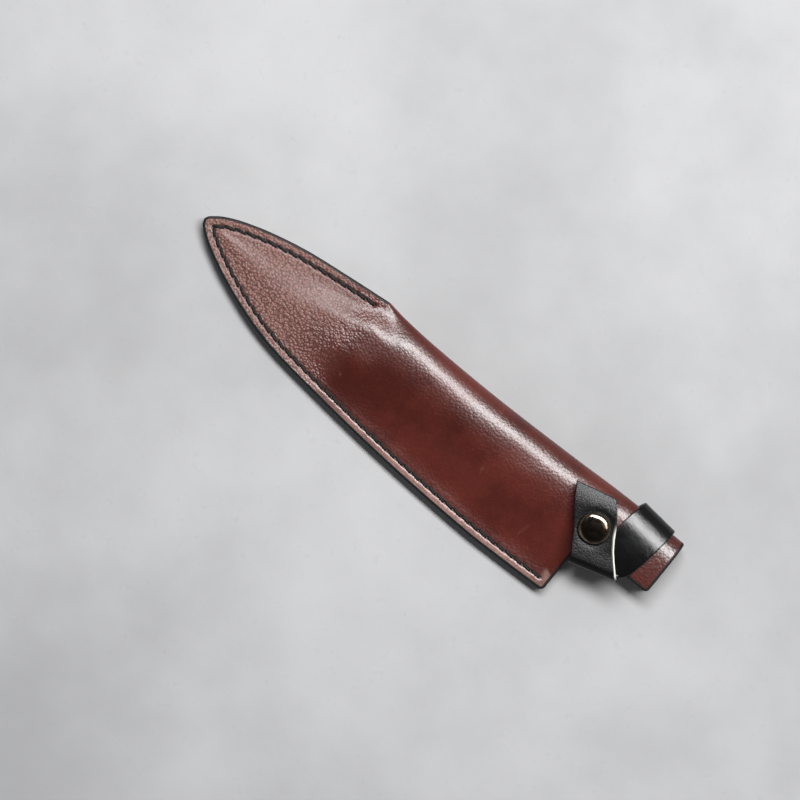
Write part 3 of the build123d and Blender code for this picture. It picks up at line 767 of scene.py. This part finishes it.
def turn_and_tab():
    """The strap's turn back on itself and its tab, to the cut end under the snap."""
    rows = []
    for t in np.concatenate([[-1.0], np.linspace(0, 1, 34)]):
        angle = pi * max(t, 0.0)
        out = TURN_RADIUS * sin(angle) if t >= 0 else -TURN_LEAD
        up = BAND_HEIGHT + TURN_RISE * (1 - cos(angle)) / 2
        t = max(t, 0.0)
        a, b = (TURN_CENTRE + TURN_OUT * out
                + TURN_ALONG * (s[0] * (1 - t) * (1 - 2 * t) + s[1] * 4 * t * (1 - t)
                                + s[2] * t * (2 * t - 1)) for s in TURN_SIDES)
        plan = np.array(a) + (np.array(b) - np.array(a)) * ACROSS[:, None]
        rows.append(np.column_stack([plan, np.full(len(plan), up)]))
    fold = rows[-1][:, :2]
    shares = np.concatenate([np.linspace(0, .95, 60), 1 - EDGE_SHARES[::-1][1:] * 0.6])
    shares = np.unique(np.round(shares, 5))[1:]
    left_edge = along_curve([tuple(fold[0])] + TAB_LEFT, shares)
    right_edge = along_curve([tuple(fold[-1])] + TAB_RIGHT, shares)
    end = along_curve(TAB_END, ACROSS)
    for i, t in enumerate(shares):
        a, b = left_edge[i], right_edge[i]
        straight = a + (b - a) * ACROSS[:, None]
        bow = end - (end[0] + (end[-1] - end[0]) * ACROSS[:, None])
        plan = straight + bow * t ** 3
        back = -((plan - np.array(TURN_CENTRE)) @ np.array(TURN_OUT))
        z = tab_height(back)
        ring = np.hypot(*(plan - np.array(SNAP)).T)
        z = z - CAP_PRESS * np.exp(-((ring - CAP_RADIUS) / CAP_PRESS_WIDTH) ** 2)
        rows.append(np.column_stack([plan, z]))
    return np.array(rows)


# ---- Materials -------------------------------------------------------------------------------


class Nodes:
    """Short forms for building a material's nodes."""

    def __init__(self, name):
        self.material = bpy.data.materials.new(name)
        self.material.use_nodes = True
        self.tree = self.material.node_tree
        self.shader = self.tree.nodes["Principled BSDF"]
        self.place = self.tree.nodes.new("ShaderNodeTexCoord").outputs["Object"]

    def link(self, source, target):
        if isinstance(source, (int, float, tuple)):
            target.default_value = source
        else:
            self.tree.links.new(source, target)

    def noise(self, scale, detail=4.0, rough=0.55, distort=0.0, stretch=None):
        node = self.tree.nodes.new("ShaderNodeTexNoise")
        node.inputs["Scale"].default_value = scale
        node.inputs["Detail"].default_value = detail
        node.inputs["Roughness"].default_value = rough
        node.inputs["Distortion"].default_value = distort
        self.link(self.scaled(stretch) if stretch else self.place, node.inputs["Vector"])
        return node.outputs["Fac"]

    def scaled(self, stretch):
        node = self.tree.nodes.new("ShaderNodeMapping")
        node.inputs["Scale"].default_value = stretch
        self.link(self.place, node.inputs["Vector"])
        return node.outputs["Vector"]

    def cells(self, scale):
        """Distance from the middles of uneven cells, whose edges a finer noise bends."""
        node = self.tree.nodes.new("ShaderNodeTexVoronoi")
        node.inputs["Scale"].default_value = scale
        warp = self.tree.nodes.new("ShaderNodeTexNoise")
        warp.inputs["Scale"].default_value = scale * 0.6
        add = self.tree.nodes.new("ShaderNodeVectorMath")
        add.operation = "MULTIPLY_ADD"
        self.link(warp.outputs["Color"], add.inputs[0])
        add.inputs[1].default_value = (0.5 / scale,) * 3
        self.link(self.place, add.inputs[2])
        self.link(self.place, warp.inputs["Vector"])
        self.link(add.outputs["Vector"], node.inputs["Vector"])
        return node.outputs["Distance"]

    def attribute(self, name):
        node = self.tree.nodes.new("ShaderNodeAttribute")
        node.attribute_name = name
        return node.outputs["Fac"]

    def span(self, value, low, high, to_low=0.0, to_high=1.0):
        node = self.tree.nodes.new("ShaderNodeMapRange")
        node.interpolation_type = "SMOOTHSTEP"
        self.link(value, node.inputs["Value"])
        for key, number in (("From Min", low), ("From Max", high), ("To Min", to_low),
                            ("To Max", to_high)):
            node.inputs[key].default_value = number
        return node.outputs["Result"]

    def math(self, operation, a, b=0.0):
        node = self.tree.nodes.new("ShaderNodeMath")
        node.operation = operation
        self.link(a, node.inputs[0])
        self.link(b, node.inputs[1])
        return node.outputs[0]

    def mix(self, share, a, b):
        node = self.tree.nodes.new("ShaderNodeMix")
        node.data_type = "RGBA"
        self.link(share, node.inputs[0])
        # Sockets 6 and 7 and output 2 are the node's colours.
        self.link(a, node.inputs[6])
        self.link(b, node.inputs[7])
        return node.outputs[2]

    def bump(self, height, strength, distance, under=None):
        node = self.tree.nodes.new("ShaderNodeBump")
        node.inputs["Strength"].default_value = strength
        node.inputs["Distance"].default_value = distance
        self.link(height, node.inputs["Height"])
        if under is not None:
            self.link(under, node.inputs["Normal"])
        return node.outputs["Normal"]

    def set(self, **values):
        for key, value in values.items():
            self.link(value, self.shader.inputs[key.replace("_", " ")])


def rgb(red, green, blue):
    """A colour from screen values 0-255, as linear light."""
    return tuple(((c / 255 + 0.055) / 1.055) ** 2.4 if c > 10 else c / 255 / 12.92
                 for c in (red, green, blue)) + (1.0,)


def brown_leather():
    n = Nodes("brown_leather")
    x = n.tree.nodes.new("ShaderNodeSeparateXYZ")
    n.link(n.place, x.inputs[0])
    clouds = n.noise(38.0, 5.0, 0.6)
    pull_up_and_sheen = n.noise(14.0, 3.0, 0.5, 0.6)
    grain = n.cells(800.0)
    fine = n.noise(1300.0, 4.0, 0.6)
    creases = n.noise(120.0, 6.0, 0.68, 0.9, (1.0, 0.35, 1.0))
    to_edge = n.attribute("edge_mm")
    to_seam = n.attribute("seam_mm")
    dark, mid, light = rgb(56, 16, 10), rgb(76, 24, 15), rgb(134, 102, 94)
    base = n.mix(n.span(clouds, 0.35, 0.68), dark, mid)
    # The point is painted paler and greyer than the mouth: partly the leather's own lighter tone, partly
    # a painted sheen for the soft light its flat grain catches.
    tip = n.span(x.outputs[0], -0.036, -0.085)
    base = n.mix(n.math("MULTIPLY", tip, n.span(pull_up_and_sheen, 0.2, 0.8, 0.7, 0.95)), base,
                 rgb(122, 84, 75))
    # The belly's margin outside the stitches is painted paler and greyer: a painted sheen for the light
    # that the tilted margin catches.
    margin = n.math("MULTIPLY", n.span(to_edge, 6.5, 3.5), n.span(to_seam, 5.6, 3.8))
    margin = n.math("MULTIPLY", margin, n.span(x.outputs[1], 0.01, 0.003))
    base = n.mix(n.math("MULTIPLY", margin, n.span(clouds, 0.3, 0.7, 0.45, 0.85)), base, light)
    base = n.mix(n.span(creases, 0.62, 0.76, 0.0, 0.28), base, light)
    pits = n.span(grain, 0.25, 0.7, 0.0, 0.2)
    pits = n.math("MULTIPLY", pits, n.math("ADD", 1.0, n.math("MULTIPLY", tip, 1.9)))
    base = n.mix(pits, base, rgb(52, 17, 12))
    base = n.mix(n.span(to_seam, 1.3, 0.3, 0.0, 0.6), base, rgb(48, 18, 14))
    # The needle holes are painted near black: painted shade down in the holes, which the mesh only
    # dents.
    base = n.mix(n.span(n.attribute("hole_mm"), 1.0, 0.45, 0.0, 0.85), base, rgb(16, 8, 7))
    black_rim = n.span(to_edge, 1.35, 1.05)
    base = n.mix(black_rim, base, rgb(9, 7, 7))
    rough = n.math("ADD", n.span(clouds, 0.3, 0.7, 0.27, 0.34), n.span(fine, 0.3, 0.7, -0.03, 0.05))
    rough = n.math("ADD", rough, n.math("MULTIPLY", tip, 0.13))
    rough = n.math("MAXIMUM", rough, n.math("MULTIPLY", black_rim, 0.6))
    # The grain is coarse at the point and pressed smooth over the fold and the mouth.
    coarse = n.span(x.outputs[0], -0.035, -0.062, 0.14, 1.0)
    pebble = n.bump(n.math("MULTIPLY", n.math("SUBTRACT", 1.0, grain), coarse), 0.85, 0.0007)
    pebble = n.bump(n.math("MULTIPLY", fine, coarse), 0.6, 0.0004, pebble)
    normal = n.bump(creases, 0.3, 0.0005, pebble)
    n.set(Base_Color=base, Roughness=rough, Normal=normal, Specular_IOR_Level=0.5,
          Coat_Weight=0.22, Coat_Roughness=0.26)
    return n.material


def painted_edge():
    n = Nodes("edge_paint")
    wear = n.noise(420.0, 5.0, 0.65)
    layers = n.noise(900.0, 3.0, 0.6, 0.0, (0.12, 0.12, 1.0))
    colour = n.mix(n.span(wear, 0.6, 0.85), rgb(7, 6, 6), rgb(24, 17, 15))
    n.set(Base_Color=colour, Roughness=n.span(wear, 0.3, 0.7, 0.5, 0.65),
          Normal=n.bump(layers, 0.35, 0.0002), Specular_IOR_Level=0.3)
    return n.material


def flesh_side():
    n = Nodes("flesh_side")
    fibre = n.noise(800.0, 8.0, 0.75, 0.4)
    patch = n.noise(60.0, 4.0, 0.6)
    colour = n.mix(n.span(patch, 0.3, 0.7), rgb(108, 62, 44), rgb(134, 84, 60))
    colour = n.mix(n.span(fibre, 0.35, 0.7, 0.0, 0.5), colour, rgb(76, 40, 28))
    n.set(Base_Color=colour, Roughness=0.88, Normal=n.bump(fibre, 0.8, 0.0005),
          Sheen_Weight=0.25, Sheen_Roughness=0.6)
    return n.material


def welt_leather():
    n = Nodes("welt_leather")
    wear = n.noise(500.0, 5.0, 0.6)
    colour = n.mix(n.span(wear, 0.4, 0.75), rgb(17, 13, 12), rgb(52, 32, 25))
    n.set(Base_Color=colour, Roughness=0.55, Normal=n.bump(wear, 0.5, 0.0003))
    return n.material


def black_leather(name, tone, rough_low, rough_high, grain_depth, shine):
    n = Nodes(name)
    clouds = n.noise(45.0, 4.0, 0.6)
    grain = n.cells(1250.0)
    fine = n.noise(2800.0, 3.0, 0.6)
    creases = n.noise(170.0, 5.0, 0.65, 0.8)
    colour = n.mix(n.span(clouds, 0.3, 0.7), rgb(*(c * 0.72 for c in tone)), rgb(*tone))
    colour = n.mix(n.span(grain, 0.1, 0.7, 0.0, 0.35), colour, rgb(8, 8, 9))
    # The tab's outer edge is painted near white here: partly its raw cut edge, partly a painted
    # highlight of the light it faces.
    colour = n.mix(n.attribute("raw_edge_glint"), colour, rgb(205, 202, 196))
    normal = n.bump(n.math("SUBTRACT", 1.0, grain), grain_depth, 0.00028)
    normal = n.bump(fine, 0.3, 0.00012, normal)
    normal = n.bump(creases, 0.2, 0.0004, normal)
    n.set(Base_Color=colour, Roughness=n.span(clouds, 0.3, 0.7, rough_low, rough_high),
          Normal=normal, Specular_IOR_Level=shine)
    return n.material


def strap_edge():
    n = Nodes("strap_edge")
    fibre = n.noise(700.0, 5.0, 0.7)
    colour = n.mix(n.span(fibre, 0.35, 0.7), rgb(34, 32, 32), rgb(16, 15, 15))
    # The tab's outer edge is painted near white here: partly its raw cut edge, partly a painted
    # highlight of the light it faces.
    colour = n.mix(n.attribute("raw_edge_glint"), colour, rgb(205, 202, 196))
    n.set(Base_Color=colour, Roughness=0.4, Normal=n.bump(fibre, 0.3, 0.0002))
    return n.material


def waxed_thread():
    n = Nodes("waxed_thread")
    fibre = n.noise(1800.0, 4.0, 0.7)
    colour = n.mix(n.span(fibre, 0.35, 0.75), rgb(4, 4, 4), rgb(15, 13, 14))
    n.set(Base_Color=colour, Roughness=0.6, Specular_IOR_Level=0.25, Normal=n.bump(fibre, 0.4, 0.00015),
          Sheen_Weight=0.05)
    return n.material


def metal(name, bright, worn, rough):
    n = Nodes(name)
    rub = n.noise(260.0, 5.0, 0.6)
    brushed = n.noise(900.0, 3.0, 0.6, 0.0, (1.0, 0.08, 1.0))
    n.set(Base_Color=n.mix(n.span(rub, 0.4, 0.75), bright, worn), Metallic=1.0,
          Roughness=n.span(rub, 0.3, 0.75, rough, rough + 0.14),
          Normal=n.bump(brushed, 0.12, 0.00008))
    return n.material


def stone_floor():
    n = Nodes("floor")
    clouds = n.noise(5.0, 6.0, 0.62)
    specks = n.noise(160.0, 4.0, 0.7)
    colour = n.mix(n.span(clouds, 0.3, 0.7), rgb(142, 142, 143), rgb(163, 163, 164))
    colour = n.mix(n.span(specks, 0.55, 0.75, 0.0, 0.25), colour, rgb(132, 132, 133))
    n.set(Base_Color=colour, Roughness=0.75, Normal=n.bump(specks, 0.12, 0.0006))
    return n.material


# ---- Build the pieces ------------------------------------------------------------------------

leather, paint, flesh, welt = brown_leather(), painted_edge(), flesh_side(), welt_leather()
band_black = black_leather("band_black_leather", (7, 7, 8), 0.16, 0.21, 0.1, 0.36)
tab_black = black_leather("tab_black_leather", (10, 10, 11), 0.27, 0.34, 0.22, 0.2)
strap_side, cotton = strap_edge(), waxed_thread()
nickel = metal("dark_nickel", rgb(110, 98, 88), rgb(70, 54, 44), 0.07)
steel = metal("plain_steel", rgb(176, 174, 170), rgb(140, 136, 130), 0.24)

sheath = leather_body(leather, paint, flesh)
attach(sheath, "sheath")
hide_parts("sheath_body")

for seam, holes in HOLES.items():
    for face in ("front", "back"):
        row = stitch_row(f"{seam}_thread_{face}", holes, face == "front", cotton)
        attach(row, "sheath")
        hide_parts(f"{seam}_stitches_{face}")


band_middle = wrap_and_band()
band = strap_sheet("strap_wrap_and_band", band_middle, edge_distance(band_middle),
                   [tab_black, strap_side, band_black])
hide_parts("strap_wrap", "strap_band")
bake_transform(band)

tab_middle = turn_and_tab()
to_side = edge_distance(tab_middle)
end_line = tab_middle[-1]
to_end = np.min(np.linalg.norm(tab_middle[:, :, None, :2] - end_line[None, None, :, :2], axis=3), 2)
# Between these distances from the turn the tab's outer long edge is painted pale: partly its unpainted
# cut edge, partly a painted highlight where that edge faces the light.
RAW_GLINT_FROM, RAW_GLINT_FULL_OVER = 5.0, 3.0
RAW_GLINT_TO, RAW_GLINT_ENDS_OVER = 31.0, 6.0
from_right = np.linalg.norm(tab_middle - tab_middle[:, -1:], axis=2)
travelled = np.cumsum(np.linalg.norm(np.diff(tab_middle[:, -1], axis=0, prepend=tab_middle[:1, -1]),
                                     axis=1))
unpainted_and_glint = ease((travelled - RAW_GLINT_FROM) / RAW_GLINT_FULL_OVER) * ease((RAW_GLINT_TO - travelled) / RAW_GLINT_ENDS_OVER)
raw_edge_glint = unpainted_and_glint[:, None] * ease((1.0 - from_right) / 0.35)
tab = strap_sheet("strap_turn_and_tab", tab_middle, np.minimum(to_side, to_end),
                  [tab_black, strap_side, band_black], raw_edge_glint)
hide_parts("strap_tab")
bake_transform(tab)


def paint_node(name, material):
    """Give a CAD node a material in every slot."""
    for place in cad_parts[name].material_slots:
        place.material = material


for name in ("belly_welt", "tip_welt"):
    paint_node(name, welt)
paint_node("anchor_rivet_caps", nickel)
for name in ("snap_socket", "snap_stud", "snap_post", "anchor_rivet_heads"):
    paint_node(name, steel)

# ---- Snap cap: a pressed dome with a rolled rim ----------------------------------------------

CAP_SEAT = TAB_HEIGHT + STRAP_THICK / 2
DENT_DEPTH = 0.05
DENT_LIMIT = 0.03
DENTS_WITHIN = 7.0
CAP_PROFILE = [(0.0, 2.66), (1.2, 2.66), (2.4, 2.64), (3.6, 2.58), (4.6, 2.48), (5.4, 2.34), (6.1, 2.14),
               (6.6, 1.88), (6.95, 1.58), (7.2, 1.24), (7.37, 0.88), (7.46, 0.5), (7.48, 0.22),
               (7.4, 0.06), (7.2, -0.02), (6.8, 0.0)]


def dome(name, profile, plan, seat, material, sides=96):
    """A turned metal dome with the faint dents that setting and wear leave."""
    profile = np.array(profile)
    points = [[plan.x, plan.y, seat + profile[0, 1]]]
    for radius, height in profile[1:]:
        for k in range(sides):
            angle = 2 * pi * k / sides
            x, y = radius * cos(angle), radius * sin(angle)
            dent = noise.noise(Vector((x * 0.42, y * 0.42, 5.0))) * DENT_DEPTH * (radius < DENTS_WITHIN)
            points.append([plan.x + x, plan.y + y, seat + height + min(dent, DENT_LIMIT)])
    faces = [[0, 1 + k, 1 + (k + 1) % sides] for k in range(sides)]
    rings = np.arange(sides * (len(profile) - 1)).reshape(-1, sides) + 1
    faces += [list(f) for f in quads(np.concatenate([rings, rings[:, :1]], 1))]
    faces.append(list(rings[-1][::-1]))
    return new_object(name, points, faces, [material])


cap = dome("snap_cap_dome", CAP_PROFILE, SNAP, CAP_SEAT, nickel)
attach(cap, "tab")
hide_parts("snap_cap")

# ---- Floor, light and camera -----------------------------------------------------------------

bpy.ops.mesh.primitive_plane_add(size=6.0, location=(0, 0, -0.0002))
floor = bpy.context.object
floor.name = "floor"
floor.data.materials.append(stone_floor())

AIM = Vector((-0.0102, -0.0028, 0.008))
CAMERA_HEIGHT = 1.35


def softbox(name, tilt, turn, distance, wide, tall, power):
    """An area light aimed at the object; tilt is off the vertical, turn its bearing from +Y."""
    data = bpy.data.lights.new(name, "AREA")
    data.shape = "RECTANGLE"
    data.size, data.size_y = wide, tall
    data.energy = power
    light = bpy.data.objects.new(name, data)
    away = Vector((sin(radians(tilt)) * sin(radians(turn)), sin(radians(tilt)) * cos(radians(turn)),
                   cos(radians(tilt))))
    light.location = AIM + away * distance
    light.rotation_euler = away.to_track_quat("Z", "Y").to_euler()
    bpy.context.scene.collection.objects.link(light)


softbox("key", 27, 0, 1.3, 1.3, 0.34, 37.0)
softbox("fill", 62, 190, 1.6, 1.4, 0.8, 1.2)

world = bpy.data.worlds.new("studio")
bpy.context.scene.world = world
world.use_nodes = True
# The room is dark overhead and pale around the sides.
links, nodes = world.node_tree.links, world.node_tree.nodes
sky_place = nodes.new("ShaderNodeTexCoord")
sky_axes = nodes.new("ShaderNodeSeparateXYZ")
sky_fade = nodes.new("ShaderNodeMapRange")
sky_fade.interpolation_type = "SMOOTHSTEP"
for key, number in (("From Min", 0.3), ("From Max", 0.97), ("To Min", 0.36), ("To Max", 0.03)):
    sky_fade.inputs[key].default_value = number
links.new(sky_place.outputs["Generated"], sky_axes.inputs[0])
links.new(sky_axes.outputs["Z"], sky_fade.inputs["Value"])
links.new(sky_fade.outputs["Result"], nodes["Background"].inputs["Strength"])
nodes["Background"].inputs["Color"].default_value = (0.95, 0.97, 1.0, 1.0)

camera_data = bpy.data.cameras.new("camera")
camera_data.lens = 135.0
camera = bpy.data.objects.new("camera", camera_data)
bpy.context.scene.collection.objects.link(camera)
right, up = Vector((0.7771, 0.6293, 0)), Vector((-0.6293, 0.7771, 0))
turn = Matrix((right, up, Vector((0, 0, 1)))).transposed().to_4x4()
camera.matrix_world = Matrix.Translation(AIM + Vector((0, 0, CAMERA_HEIGHT))) @ turn
bpy.context.scene.camera = camera

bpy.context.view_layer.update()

scene = bpy.context.scene
scene.view_settings.view_transform = "Standard"
